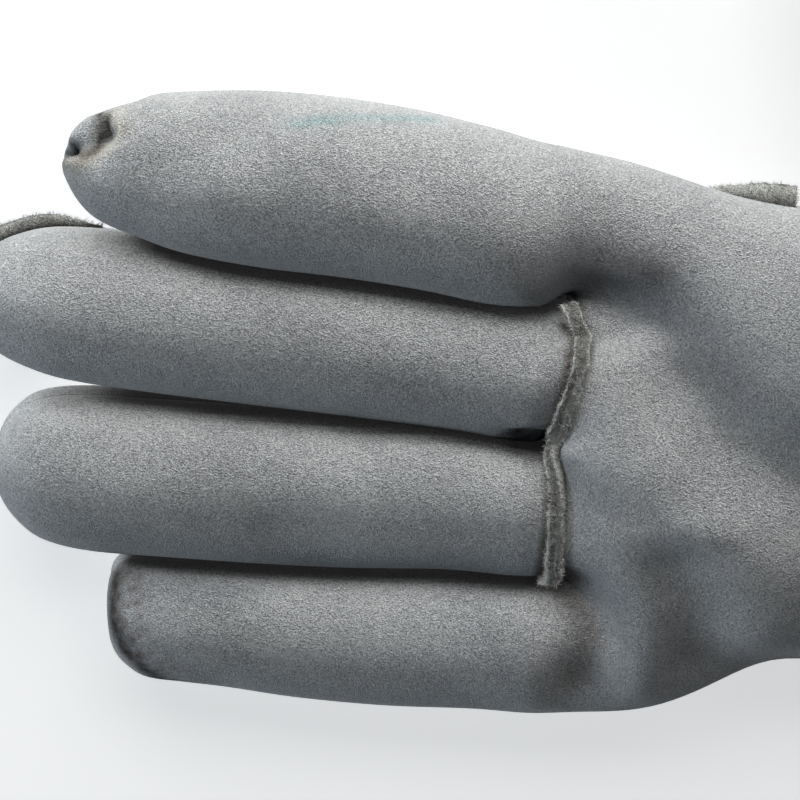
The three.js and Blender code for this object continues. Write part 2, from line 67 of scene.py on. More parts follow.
# Soft studio light: a large low window and a skylight on the index finger's side, a bluish fill
# beyond the fingertips, a very weak light overhead and a dim room all round. The floor is a
# plain pale sheet of paper, lit evenly by a glow of its own.
WINDOW = {"place": (-60, 900, 40), "size": (500, 300), "power": 11.0,
          "colour": (1.0, 0.985, 0.96), "shadow": False}
SKYLIGHT = {"place": (-60, 600, 480), "size": (700, 400), "power": 3.0,
            "colour": (1.0, 0.99, 0.97), "shadow": True}
OVERHEAD = {"place": (-40, -300, 700), "size": (400, 400), "power": 0.3,
            "colour": (0.9, 0.95, 1.0), "shadow": True}
FILL = {"place": (-850, -120, 160), "size": (400, 260), "power": 3.4,
        "colour": (0.8, 0.9, 1.0), "shadow": True}
ROOM = {"colour": (0.82, 0.91, 1.0), "strength": 0.03}
FLOOR = {"size": 2400, "colour": (0.86, 0.87, 0.87), "roughness": 0.8, "glow": 0.46}


def studio_light(name, place, size, power, colour, shadow):
    data = bpy.data.lights.new(name, "AREA")
    data.shape = "RECTANGLE"
    data.size, data.size_y = size[0] * MM, size[1] * MM
    data.energy = power
    data.color = colour
    data.use_shadow = shadow
    light = bpy.data.objects.new(name, data)
    light.location = Vector(place) * MM
    light.rotation_euler = (VIEW_TARGET - light.location).to_track_quat("-Z", "Y").to_euler()
    bpy.context.scene.collection.objects.link(light)


studio_light("window", **WINDOW)
studio_light("skylight", **SKYLIGHT)
studio_light("overhead", **OVERHEAD)
studio_light("fill", **FILL)
world = bpy.data.worlds.new("room")
world.use_nodes = True
background = world.node_tree.nodes["Background"]
background.inputs["Color"].default_value = (*ROOM["colour"], 1)
background.inputs["Strength"].default_value = ROOM["strength"]
bpy.context.scene.world = world

floor_mesh = bpy.data.meshes.new("floor")
half = FLOOR["size"] * MM / 2
corners = [(-half, -half, 0), (half, -half, 0), (half, half, 0), (-half, half, 0)]
floor_mesh.from_pydata(corners, [], [(0, 1, 2, 3)])
floor = bpy.data.objects.new("floor", floor_mesh)
bpy.context.scene.collection.objects.link(floor)
paper = bpy.data.materials.new("pale_paper")
paper.use_nodes = True
paper_shader = paper.node_tree.nodes["Principled BSDF"]
paper_shader.inputs["Base Color"].default_value = (*FLOOR["colour"], 1)
paper_shader.inputs["Roughness"].default_value = FLOOR["roughness"]
paper_shader.inputs["Emission Color"].default_value = (1, 1, 1, 1)
paper_shader.inputs["Emission Strength"].default_value = FLOOR["glow"]
floor_mesh.materials.append(paper)

# Palm panel: one piece of split leather for the palm and the fronts of the index and little
# fingers. It sets the form of the glove, so the net that all the panels are cut from is laid out
# here: rows along the glove, columns across the front and the back of each finger.
WALL = 1.8
SEAM_GAP = 0.16
FINGER_GAP = 0.4
WRIST_X = 59
CUFF_END_X = 115
# The finger panel is still one piece this far beyond the seam at the fingers' foot
BRIDGE = 3.5
# Rows and columns of the net for each finger, hand and cuff, each split FINE times
FINE = 4
FRONT_COLUMNS = [11, 9, 9, 11]
BACK_COLUMNS = [7, 8, 8, 7]
FINGER_ROWS = 12
PALM_ROWS = 12
CUFF_ROWS = 3
# How strongly the rows crowd towards the fingertips and towards the knuckles
TIP_CROWDING = 1.75
KNUCKLE_CROWDING = 1.35

# Finger sections from tip to palm: x, centre y and z, half width, half height
INDEX = [
    [-131.3, 50.3, 20.6, 0, 0], [-128.6, 50.0, 20.4, 6.6, 6.2], [-124.5, 49.8, 20.0, 9.8, 9.4],
    [-119.0, 49.4, 19.8, 11.8, 11.4], [-111.0, 48.2, 19.6, 13.6, 13.2], [-98.0, 47.0, 19.6, 15.0, 14.5],
    [-84.0, 45.5, 19.6, 15.3, 14.7], [-70.0, 43.1, 19.5, 15.3, 14.7], [-57.0, 39.9, 19.2, 15.2, 14.8],
    [-44.0, 38.4, 18.8, 14.8, 15.0], [-20.0, 35.0, 18.3, 13.5, 16.0]]
MIDDLE = [
    [-151.0, 24.2, 14.6, 0, 0], [-147.0, 24.0, 14.4, 7.4, 7.2], [-141.0, 23.7, 14.3, 11.2, 10.9],
    [-133.0, 23.0, 14.3, 13.4, 13.2], [-118.0, 21.2, 14.2, 14.1, 14.2], [-100.0, 19.0, 14.2, 14.3, 14.5],
    [-83.0, 16.8, 14.2, 14.3, 14.6], [-65.0, 14.2, 14.2, 14.3, 14.6], [-49.5, 11.8, 14.6, 14.2, 14.8],
    [-20.0, 12.5, 16.0, 14.0, 16.0]]
RING = [
    [-146.5, -7.4, 13.9, 0, 0], [-143.0, -7.6, 13.9, 9.4, 8.8], [-138.0, -8.0, 13.8, 13.3, 12.5],
    [-130.0, -8.7, 13.8, 14.9, 13.7], [-118.0, -9.6, 13.8, 15.1, 14.0], [-100.0, -10.9, 13.8, 15.2, 14.1],
    [-83.0, -11.9, 13.8, 15.1, 14.1], [-65.0, -12.4, 13.8, 14.9, 14.1], [-49.0, -14.4, 14.2, 14.2, 14.4],
    [-20.0, -13.0, 15.5, 14.5, 15.6]]
LITTLE = [
    [-127.3, -36.2, 12.2, 0, 0], [-126.4, -36.5, 12.2, 7.6, 6.8], [-124.3, -37.0, 12.2, 10.3, 9.2],
    [-120.5, -37.8, 12.2, 12.1, 10.9], [-114.0, -38.1, 12.2, 12.7, 11.9], [-106.0, -38.8, 12.2, 13.0, 12.3],
    [-93.0, -40.4, 12.2, 13.6, 12.5], [-77.0, -41.7, 12.3, 13.9, 12.7], [-60.0, -42.0, 12.6, 14.1, 13.0],
    [-48.0, -42.4, 13.2, 14.3, 13.4], [-20.0, -40.0, 15.0, 14.5, 15.0]]
FINGERS = [INDEX, MIDDLE, RING, LITTLE]
# Hand and cuff sections from knuckles to opening: x, centre y and z, half width, half height
HAND = [
    [-60.0, -1.6, 16.2, 53.5, 15.8], [-44.0, -1.6, 16.4, 53.9, 16.0], [-33.0, -3.1, 16.9, 52.0, 17.0],
    [-26.0, -3.7, 17.3, 50.3, 17.8], [-20.0, -3.0, 17.6, 47.2, 18.4], [-10.0, -1.5, 17.9, 42.8, 18.9],
    [5.0, -1.2, 18.2, 42.6, 19.2], [30.0, -0.6, 18.6, 43.4, 19.6], [59.0, 0.0, 19.4, 43.4, 20.4],
    [78.0, 0.0, 20.4, 46.2, 21.4], [97.0, 0.0, 21.3, 49.8, 22.3], [115.0, 0.0, 22.1, 52.8, 23.1]]
# 2 would make the hand's sections ellipses, and more makes them squarer
HAND_ROUNDNESS = 2.3
# Where the fingers join the hand, from the index side (0) to the little side (4)
FINGER_BASE = [
    [0.0, -48.0], [1.0, -46.2], [1.3, -44.4], [1.45, -43.6], [1.6, -44.9], [1.75, -46.0], [2.0, -47.4],
    [2.2, -46.3], [2.5, -46.5], [2.75, -47.4], [3.0, -48.2], [4.0, -50.0]]
# The fingers bulge over the seam at their foot: depth, length to either side
BASE_GROOVE = {"depth": 1.8, "finger": 4.0, "palm": 2.0}
# The three gaps run on into the hand at these angles round it, and fade over these lengths
GAP_ANGLES = [58.8, 88.5, 118.5]
CLEFT_FADE = [{"palm": 8, "back": 16}, {"palm": 6.5, "back": 15}, {"palm": 9, "back": 15}]
# How long before the seam each finger's crown starts to fade, and how long that takes
CROWNS = [
    {"lead": 12, "fade": 26}, {"lead": 10, "fade": 20}, {"lead": 10, "fade": 20}, {"lead": 6, "fade": 18}]
# The power with which a finger's crown gives way to the gap beside it, towards its sides
CROWN_WIDTH = 1.5
# Side seams between palm and back: x, angle from the side
INDEX_SIDE_SEAM = [[-140, -42], [-40, -42], [-26, -32], [-16, -20], [-6, -8], [6, 0], [115, 0]]
LITTLE_SIDE_SEAM = [[-140, 188], [-50, 188], [0, 184], [40, 180], [115, 180]]
MIDDLE_SIDE_SEAM = [[-155, -16], [-122, -16], [-100, 0], [0, 0]]
# Dents (+) and ridges (-) in the palm: from x, y to x, y, width, depth
PALM_RELIEF = [
    [-42, 24, -32, 24, 6.5, 8.0], [-33, 22.5, -26, 13, 9.5, 6.4], [-26, 13, -16, 1.5, 8.5, 5.6],
    [-16, 1.5, 12, -10, 10.0, 4.8], [-42, 6, -33, -2, 6.0, -1.0], [-33, -2, -21, -12, 7.0, -1.8],
    [-21, -12, -11, -31, 8.0, -4.2], [-25, -19, -22.5, -28, 6.0, 4.8], [-22.5, -28, -21, -39, 5.5, 4.8],
    [-37, -3, -33, -14, 5.0, -1.2], [-33, -14, -30.5, -28, 4.6, -3.0], [-30.5, -28, -31.5, -43, 4.6, -3.6],
    [-42, -26, -38.5, -36, 4.0, 4.6], [-38.5, -36, -41, -46, 4.0, 4.0], [-13, -38, 0, -46, 6.0, 2.0],
    [-54, -33, -52, -46, 5.0, -1.0]]
# Dimples round the fingers: finger, x, angle, length, arc width, depth
FINGER_RELIEF = [
    [0, -125.5, 52, 3.2, 26, 2.2], [0, -131, 150, 3.0, 40, 1.0], [0, -75, 60, 16, 30, 0.6],
    [1, -70, 70, 20, 30, 0.5], [2, -90, 95, 22, 30, 0.5], [3, -85, 80, 16, 30, 0.5]]
# The share of a finger's thickness that no dimple goes below
LEAST_THICKNESS = 0.4
# Keeps divisions safe where a length may be nothing
TINY = 1e-9


def mix(a, b, t):
    return a + (b - a) * t


def ease(t):
    c = np.clip(t, 0, 1)
    return c * c * (3 - 2 * c)


def along(rows, x, squared=()):
    """Smooth curve through a table, read at every x. Squared columns close round at zero."""
    rows = np.array(rows, float)
    rows[:, list(squared)] **= 2
    xs, last = rows[:, 0], len(rows) - 1
    at = np.clip(np.asarray(x, float), xs[0], xs[-1])
    i = np.clip(np.searchsorted(xs, at) - 1, 0, last - 1)
    p0, p1, p2, p3 = (rows[np.clip(i + k, 0, last)] for k in (-1, 0, 1, 2))
    span = (p2[..., :1] - p1[..., :1])
    t = (at[..., None] - p1[..., :1]) / span
    d1 = (p2 - p0) / np.maximum(p2[..., :1] - p0[..., :1], TINY)
    d2 = (p3 - p1) / np.maximum(p3[..., :1] - p1[..., :1], TINY)
    value = ((2 * t ** 3 - 3 * t ** 2 + 1) * p1 + (t ** 3 - 2 * t ** 2 + t) * span * d1
             + (3 * t ** 2 - 2 * t ** 3) * p2 + (t ** 3 - t ** 2) * span * d2)
    for column in squared:
        value[..., column] = np.sqrt(np.maximum(value[..., column], 0))
    return np.moveaxis(value, -1, 0)


def base_x(s):
    return along(FINGER_BASE, s)[1]


def seam_angles(f, x):
    plus = [INDEX_SIDE_SEAM, MIDDLE_SIDE_SEAM, None, None][f]
    plus = along(plus, x)[1] if plus else np.zeros_like(x)
    minus = along(LITTLE_SIDE_SEAM, x)[1] if f == 3 else np.full_like(x, 180.0)
    return plus, minus


def finger_point(f, x, angle):
    """Skin of a finger. Neighbouring fingers press each other flat where they meet."""
    _, y, z, a, b = along(FINGERS[f], x, (3, 4))
    dent = np.zeros_like(x)
    for finger, middle_x, middle_angle, length, arc, depth in FINGER_RELIEF:
        if finger == f:
            off = (angle - middle_angle + 540) % 360 - 180
            dent = dent + depth * np.exp(-((x - middle_x) / length) ** 2 - (off / arc) ** 2)
    py = y + np.maximum(a - dent, a * LEAST_THICKNESS) * np.cos(np.radians(angle))
    pz = z + np.maximum(b - dent, b * LEAST_THICKNESS) * np.sin(np.radians(angle))
    for g in (f - 1, f + 1):
        if not 0 <= g <= 3:
            continue
        _, yg, zg, ag, _ = along(FINGERS[g], x, (3, 4))
        apart = np.hypot(yg - y, zg - z)
        ey, ez = (yg - y) / apart, (zg - z) / apart
        limit = apart * a / np.maximum(a + ag, 0.01) - FINGER_GAP / 2
        over = (py - y) * ey + (pz - z) * ez - limit
        over = np.where((a + ag > apart) & (over > 0) & (x > FINGERS[g][0][0]), over, 0)
        py, pz = py - over * ey, pz - over * ez
    return py, pz


def palm_relief(x, y):
    dent, ridge = np.zeros_like(x), np.zeros_like(x)
    for x1, y1, x2, y2, width, depth in PALM_RELIEF:
        dx, dy = x2 - x1, y2 - y1
        t = np.clip(((x - x1) * dx + (y - y1) * dy) / (dx * dx + dy * dy), 0, 1)
        form = depth * np.exp(-(np.hypot(x - x1 - t * dx, y - y1 - t * dy) / width) ** 2)
        dent, ridge = np.maximum(dent, form), np.minimum(ridge, form)
    return dent + ridge


def hand_point(x, angle):
    _, y, z, a, b = along(HAND, x)
    c, s = np.cos(np.radians(angle)), np.sin(np.radians(angle))
    power = 2 / HAND_ROUNDNESS
    py = y + a * np.sign(c) * np.abs(c) ** power
    pz = z + b * np.sign(s) * np.abs(s) ** power
    return py, pz


def hand_angle(f, x, t, side):
    little = along(LITTLE_SIDE_SEAM, x)[1]
    start = along(INDEX_SIDE_SEAM, x)[1] if f == 0 else side * GAP_ANGLES[f - 1]
    end = side * GAP_ANGLES[f] if f < 3 else (little if side > 0 else little - 360)
    return mix(start, end, t)


def cleft(gap, side):
    start = float(base_x(float(gap))) - (BRIDGE if gap == 2 else 0)
    return start, CLEFT_FADE[gap - 1]["palm" if side > 0 else "back"]


def knuckle_point(f, x, t, side):
    """Skin of the glove from the fingertips into the hand, where the fingers' forms fade."""
    plus, minus = seam_angles(f, x)
    end = minus if side > 0 else minus - 360
    py, pz = finger_point(f, x, mix(plus, end, t))
    q = 2 * t - 1
    start = np.full_like(x, base_x(f + 0.5) - CROWNS[f]["lead"])
    fade = np.full_like(x, CROWNS[f]["fade"])
    for gap, there in ((f, q < 0), (f + 1, q >= 0)):
        if not 1 <= gap <= 3:
            continue
        gap_start, gap_fade = cleft(gap, side)
        near = np.abs(q) ** CROWN_WIDTH
        start = np.where(there, mix(start, gap_start, near), start)
        fade = np.where(there, mix(fade, gap_fade, near), fade)
        meeting = (t == (0 if gap == f else 1)) & (x >= gap_start - 1e-6)
        if gap == f:
            other_y, other_z = finger_point(f - 1, x, np.full_like(x, side * 180.0))
        else:
            other_y, other_z = finger_point(f + 1, x, np.zeros_like(x))
        py, pz = np.where(meeting, (py + other_y) / 2, py), np.where(meeting, (pz + other_z) / 2, pz)
    hy, hz = hand_point(x, hand_angle(f, x, t, side))
    w = ease((x - start) / fade)
    pz = mix(pz, hz, w)
    if side > 0 and f in (1, 2):
        off = x - base_x(f + t)
        length = np.where(off < 0, BASE_GROOVE["finger"], BASE_GROOVE["palm"])
        over = np.sin(t * math.pi)
        over = over + np.where((t > 0.5) == (f == 1), (1 - over) * w, 0)
        pz = pz - BASE_GROOVE["depth"] * np.exp(-(off / length) ** 2) * over
    return np.stack([x, mix(py, hy, w), np.maximum(pz, 0)], -1)


def finger_row_x(f, s, r):
    base = base_x(s)
    tip = FINGERS[f][0][0]
    far = tip + (base - BRIDGE - tip) * np.clip(1 - (r - 1) / (FINGER_ROWS - 1), 0, 1) ** TIP_CROWDING
    return np.where(r < 1, base - BRIDGE * r, far)


def hand_row_x(s, r):
    return mix(base_x(s), WRIST_X, (r / PALM_ROWS) ** KNUCKLE_CROWDING)


PANELS = ["palm_panel", "finger_panel", "back_panel", "thumb_front", "thumb_back", "cuff"]
net = bmesh.new()
panel_layer = net.faces.layers.int.new("panel")


def add_net(grid, panel_of, flip):
    """Adds a grid of points to the net as four-cornered faces, each marked with its panel."""
    rows = [[net.verts.new(p) for p in row] for row in grid]
    for r in range(len(rows) - 1):
        for c in range(len(rows[0]) - 1):
            panel = panel_of(r, c)
            if panel is None:
                continue
            loop = [rows[r][c], rows[r + 1][c], rows[r + 1][c + 1], rows[r][c + 1]]
            face = net.faces.new(loop[::-1] if flip else loop)
            face[panel_layer] = PANELS.index(panel)


def spread(row_count, column_count):
    r = np.arange(row_count * FINE + 1) / FINE
    t = np.arange(column_count * FINE + 1) / (column_count * FINE)
    return np.meshgrid(r, t, indexing="ij")


FRONT_PANEL = ["palm_panel", "finger_panel", "finger_panel", "palm_panel"]
for side in (1, -1):
    for f, columns in enumerate(FRONT_COLUMNS if side > 0 else BACK_COLUMNS):
        r, t = spread(FINGER_ROWS, columns)
        skin = knuckle_point(f, finger_row_x(f, f + t, r), t, side)
        skin[-1] = [FINGERS[f][0][:3]] * len(skin[-1])
        panel = FRONT_PANEL[f] if side > 0 else "back_panel"
        add_net(skin, lambda row, column, panel=panel: panel, side < 0)

# The thumb's opening in the side of the hand, and the hand and cuff round it
THUMB_ROWS = {"from": 7, "to": 11}
THUMB_COLUMNS = {1: 7, -1: 5}
thumb_edges = {}
for side in (1, -1):
    counts = FRONT_COLUMNS if side > 0 else BACK_COLUMNS
    hand, cuff = [], []
    for f, columns in enumerate(counts):
        r, t = spread(PALM_ROWS, columns)
        hand.append(knuckle_point(f, hand_row_x(f + t, r), t, side)[:, (f > 0):])
        r, t = spread(CUFF_ROWS, columns)
        x = mix(WRIST_X, CUFF_END_X, r / CUFF_ROWS)
        y, z = hand_point(x, hand_angle(f, x, t, side))
        cuff.append(np.stack([x, y, np.maximum(z, 0)], -1)[:, (f > 0):])
    first, last = THUMB_ROWS["from"] * FINE, THUMB_ROWS["to"] * FINE
    limit = THUMB_COLUMNS[side] * FINE
    panel = "palm_panel" if side > 0 else "back_panel"
    skin = np.concatenate(hand, axis=1)
    add_net(skin, lambda row, column, panel=panel, first=first, last=last, limit=limit:
            None if first <= row < last and column < limit else panel, side > 0)
    add_net(np.concatenate(cuff, axis=1), lambda row, column: "cuff", side > 0)
    thumb_edges[side] = np.concatenate([skin[first, :limit], skin[first:last, limit], skin[last, limit::-1]])

# Thumb along its axis: distance, half width, half height, centre height
THUMB_HEADING = math.radians(112)
THUMB_SECTIONS = [
    [0, 21.0, 15.5, 18.6], [7, 18.5, 15.0, 18.4], [17, 16.6, 14.6, 17.6], [29, 15.6, 14.2, 16.8],
    [42, 15.0, 13.8, 16.4], [53, 13.8, 12.8, 16.2], [61, 11.2, 10.4, 16.2], [65.5, 7.2, 6.6, 16.2],
    [67.5, 0, 0, 16.2]]
THUMB_RINGS = 34
THUMB_CROWDING = 1.5
# The rings start as the opening's edge carried along, and have the thumb's own form from here on
THUMB_ROOT = {"length": 29, "pull": 0.8}
heading = np.array([math.cos(THUMB_HEADING), math.sin(THUMB_HEADING), 0])
across = np.array([-heading[1], heading[0], 0])
foot = (thumb_edges[1][0] + thumb_edges[1][-1]) / 2
thumb_length = THUMB_SECTIONS[-1][0]
distances = thumb_length * (1 - (1 - np.arange(THUMB_RINGS + 1) / THUMB_RINGS) ** THUMB_CROWDING)
for side in (1, -1):
    edge = thumb_edges[side]
    run = np.concatenate([[0], np.cumsum(np.linalg.norm(np.diff(edge, axis=0), axis=1))])
    turns = run / run[-1] * math.pi
    rows = [edge]
    for distance in distances[1:]:
        _, half_width, half_height, height = along(THUMB_SECTIONS, distance, (1, 2))
        settle = ease(distance / THUMB_ROOT["length"])
        middle = foot * [1, 1, 0] + heading * distance + [0, 0, height]
        ring = middle + np.outer(np.cos(turns) * half_width, across)
        ring[:, 2] += side * np.sin(turns) * half_height
        rows.append(mix(edge + heading * distance * THUMB_ROOT["pull"], ring, settle))
        rows[-1][:, 2] = np.maximum(rows[-1][:, 2], 0)
    panel = "thumb_front" if side > 0 else "thumb_back"
    add_net(np.array(rows), lambda row, column, panel=panel: panel, side > 0)

# The grids are joined where their edges meet
SAME_PLACE = 0.004
NO_LENGTH = 0.0005
bmesh.ops.remove_doubles(net, verts=net.verts, dist=SAME_PLACE)
bmesh.ops.dissolve_degenerate(net, dist=NO_LENGTH, edges=net.edges)
bmesh.ops.delete(net, geom=[v for v in net.verts if not v.link_faces], context="VERTS")
net.verts.index_update()
net.verts.ensure_lookup_table()
net_points = np.array([v.co[:] for v in net.verts])
skin = net_points.copy()
edges = np.array([[v.index for v in e.verts] for e in net.edges])
faces = [[v.index for v in face.verts] for face in net.faces]
face_panel = np.array([face[panel_layer] for face in net.faces])
seam = np.array([len({face[panel_layer] for face in v.link_faces}) > 1 for v in net.verts])

# Leather bridges sharp hollows: points near the knuckles settle between their neighbours. The
# four places along the glove are where this starts, is in full, fades and ends.
RELAX_STRETCH = [-47, -40, -30, 0]
RELAX_ROUNDS = 3 * FINE * FINE


def neighbour_mean(values):
    total = np.zeros_like(values)
    count = np.bincount(edges.ravel(), minlength=len(values))
    np.add.at(total, edges[:, 0], values[edges[:, 1]])
    np.add.at(total, edges[:, 1], values[edges[:, 0]])
    return total / count[:, None]


start, full, fade, end = RELAX_STRETCH
share = ease((skin[:, 0] - start) / (full - start)) * ease((end - skin[:, 0]) / (end - fade))
share = np.where(seam, 0, share)[:, None] / 2
for _ in range(RELAX_ROUNDS):
    skin = mix(skin, neighbour_mean(skin), share)


def outward_directions(points):
    for v, p in zip(net.verts, points):
        v.co = p
    net.normal_update()
    return np.array([v.normal[:] for v in net.verts])


# The palm's relief is pressed into the leather that faces up, in full where it is nearly level,
# and evened out over a few neighbours
FACING = {"none": 0.05, "full": 0.6}
RELIEF_SPREAD = 8
outward = outward_directions(skin)
facing_up = ease((outward[:, 2] - FACING["none"]) / (FACING["full"] - FACING["none"]))
press = outward * (palm_relief(skin[:, 0], skin[:, 1]) * facing_up)[:, None]
for _ in range(RELIEF_SPREAD):
    press = neighbour_mean(press)
skin = skin - press
outward = outward_directions(skin)

# The index fingertip is puckered: a slit runs in from its end into a hollow, with a rolled lip
# round it. Other dents are folds that the leather keeps. Each is a line on the skin with a width
# and a depth, negative where the leather stands up.
FOLDS = [
    {"line": [[-130.5, 53.0, 23.0], [-127.0, 55.0, 27.4], [-125.2, 55.9, 28.3]], "width": 1.0, "depth": 4.0},
    {"line": [[-124.2, 60.0, 25.6], [-123.8, 58.9, 26.6], [-123.4, 57.6, 27.4]], "width": 1.7, "depth": 5.2},
    {"line": [[-128.4, 56.4, 23.6], [-127.0, 58.4, 22.6]], "width": 2.2, "depth": -0.9},
    {"line": [[-129.0, 52.4, 26.2], [-124.9, 54.0, 29.8], [-121.9, 56.6, 29.6], [-120.8, 59.8, 26.6]],
     "width": 1.6, "depth": -1.5},
    {"line": [[-129.2, 55.0, 18.0], [-125.5, 58.5, 17.5], [-120.5, 61.0, 17.0]], "width": 3.6, "depth": 1.5},
    {"line": [[-41.2, 21.5, 32.0], [-41.2, 14.4, 33.0]], "width": 0.7, "depth": -0.7},
    {"line": [[-54, 2.0, 25.0], [-47.5, 1.0, 24.0]], "width": 2.0, "depth": 2.2},
    {"line": [[-45.5, -25.0, 26.0], [-43.0, -27.0, 27.0]], "width": 2.6, "depth": 1.2},
    {"line": [[-99.6, -7.0, 33.0], [-93.4, -19.5, 28.0]], "width": 4.0, "depth": 0.9},
    {"line": [[-90.8, -10.3, 32.0], [-85.5, -19.7, 28.0]], "width": 3.4, "depth": 0.8},
    {"line": [[-113.0, 52.0, 31.0], [-104.0, 57.0, 29.0]], "width": 4.5, "depth": 0.7},
    {"line": [[-100.0, 55.0, 30.0], [-92.0, 46.0, 34.0]], "width": 4.5, "depth": 0.5},
    {"line": [[-51.0, 11.0, 33.5], [-60.0, 8.0, 34.5]], "width": 1.8, "depth": 0.55},
    {"line": [[-51.0, 15.0, 33.0], [-58.0, 15.5, 34.5]], "width": 1.6, "depth": 0.5},
    {"line": [[-53.0, -10.0, 31.0], [-60.0, -7.5, 33.0]], "width": 1.8, "depth": 0.6},
    {"line": [[-53.0, -15.0, 30.0], [-62.0, -17.0, 30.0]], "width": 2.0, "depth": 0.6}]


def from_line(points, line):
    """Distance from each point to a line of straight stretches."""
    nearest = np.full(len(points), 1e9)
    for a, b in zip(np.array(line, float), np.array(line[1:], float)):
        t = np.clip(((points - a) @ (b - a)) / max((b - a) @ (b - a), TINY), 0, 1)
        nearest = np.minimum(nearest, np.linalg.norm(points - a - t[:, None] * (b - a), axis=1))
    return nearest


fold = sum(row["depth"] * np.exp(-(from_line(skin, row["line"]) / row["width"]) ** 2) for row in FOLDS)
skin = skin - outward * fold[:, None]
outward = outward_directions(skin)

# Seams draw the leather in. At the thumb's tip, where the seam turns back, the groove fades out:
# it is gone and in full at these distances from the tip.
SEAM_GROOVE = {"depth": 0.8, "width": 1.6, "gone": 4, "full": 14}
seam_tree = kdtree.KDTree(int(seam.sum()))
for k, p in enumerate(skin[seam]):
    seam_tree.insert(p, k)
seam_tree.balance()
from_seam = np.array([seam_tree.find(p)[2] for p in skin])
thumb_tip = foot * [1, 1, 0] + heading * distances[-1] + [0, 0, THUMB_SECTIONS[-1][3]]
from_tip = np.linalg.norm(skin - thumb_tip, axis=1)
open_seam = ease((from_tip - SEAM_GROOVE["gone"]) / (SEAM_GROOVE["full"] - SEAM_GROOVE["gone"]))
groove = open_seam * SEAM_GROOVE["depth"] * np.exp(-(from_seam / SEAM_GROOVE["width"]) ** 2)
skin = skin - outward * groove[:, None]
skin[:, 2] = np.maximum(skin[:, 2], 0)
outward = outward_directions(skin)

# Painted shade: folds and the narrow gaps between the fingers see little open air, and are painted
# darker there as shade. Rays look out from each place on the skin, from a little above it, for 26 mm.
# The less they see, the darker, down to the least share. Leather within 3.6 mm darkens it further, as
# painted shade where leather nearly touches.
OPEN_AIR = {"rays": 18, "start": 0.3, "reach": 26, "gain": 1.15, "least": 0.14}
TOUCH = {"reach": 3.6, "gain": 2, "shade": 0.9}
# The rays are laid out about one direction, or about the other where the skin faces sideways
TURNED_ABOUT = {"most": (0.3, 0.9, 0.2), "sideways": (0.9, 0.1, 0.3)}
FACING_SIDEWAYS = 0.8
OPEN_AIR_SPREAD = 2
skin_tree = BVHTree.FromPolygons(skin.tolist(), faces)


def openness(points, directions):
    golden = math.pi * (3 - math.sqrt(5))
    k = np.arange(OPEN_AIR["rays"])
    lift = np.sqrt((k + 0.5) / OPEN_AIR["rays"])
    flat = np.sqrt(1 - lift ** 2)
    dome = np.stack([flat * np.cos(golden * k), flat * np.sin(golden * k), lift], -1)
    seen, touched = np.zeros(len(points)), np.zeros(len(points))
    for i, (p, n) in enumerate(zip(points, directions)):
        aside = np.cross(n, TURNED_ABOUT["most" if abs(n[1]) < FACING_SIDEWAYS else "sideways"])
        aside /= np.linalg.norm(aside) + TINY
        rays = dome @ np.stack([aside, np.cross(n, aside), n])
        start = Vector(p + n * OPEN_AIR["start"])
        for ray in rays:
            far = skin_tree.ray_cast(start, Vector(ray), OPEN_AIR["reach"])[3]
            seen[i] += 1 if far is None else (far / OPEN_AIR["reach"]) ** 2
            touched[i] += far is not None and far < TOUCH["reach"]
    return seen / OPEN_AIR["rays"], touched / OPEN_AIR["rays"]


open_air, touched = (shares[:, None] for shares in openness(skin, outward))
for _ in range(OPEN_AIR_SPREAD):
    open_air, touched = neighbour_mean(open_air), neighbour_mean(touched)
# Painted shade from how little open air each place sees and how near other leather lies
shaded = OPEN_AIR["least"] + (1 - OPEN_AIR["least"]) * ease(open_air * OPEN_AIR["gain"])
painted_shade_and_marks = np.repeat(shaded * (1 - TOUCH["shade"] * ease(touched * TOUCH["gain"])), 3, axis=1)

# The seam at the foot of the middle and ring fingers, found again on the finished skin
FOOT_POINTS = 37
net_tree = kdtree.KDTree(len(net_points))
for k, p in enumerate(net_points):
    net_tree.insert(p, k)
net_tree.balance()
foot_t = np.linspace(0, 1, FOOT_POINTS)
foot_line = np.concatenate([knuckle_point(f, base_x(f + foot_t), foot_t, 1) for f in (1, 2)])
foot_on_skin = skin[[net_tree.find(p)[1] for p in foot_line]]
